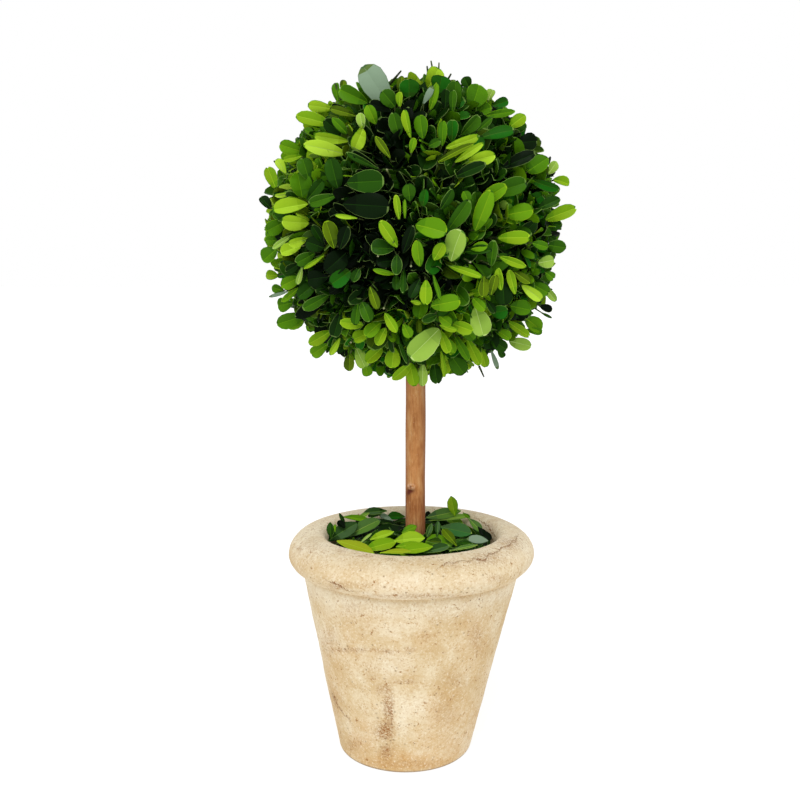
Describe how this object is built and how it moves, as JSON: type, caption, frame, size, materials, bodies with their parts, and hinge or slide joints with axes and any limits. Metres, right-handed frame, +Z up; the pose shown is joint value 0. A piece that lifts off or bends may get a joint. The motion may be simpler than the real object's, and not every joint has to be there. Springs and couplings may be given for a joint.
{
  "type": "artificial potted boxwood topiary",
  "caption": "Clipped ball of preserved boxwood leaves on a straight wooden stem, in an aged cream pot with a rolled rim, under a bed of loose leaves.",
  "frame": {"origin": "centre of the pot's flat underside", "axes": "+Z up along the stem, +Y away from the viewer, +X to the viewer's right"},
  "size_m": [0.181, 0.1792, 0.4062],
  "materials": {
    "pot": "aged cream cement, matt, with tan patches, pits and a rusty run",
    "pot_filling": "dark filling under the leaves",
    "stem": "reddish brown bark with fine upright streaks",
    "boxwood_ball": "preserved boxwood leaves, dark to yellow green, half gloss",
    "leaf_bed": "loose preserved boxwood leaves, bright green, half gloss"
  },
  "bodies": {
    "root": {"pot": "pot", "pot_filling": "pot_filling", "stem": "stem", "boxwood_ball": "boxwood_ball", "leaf_bed": "leaf_bed"}
  },
  "joints": []
}
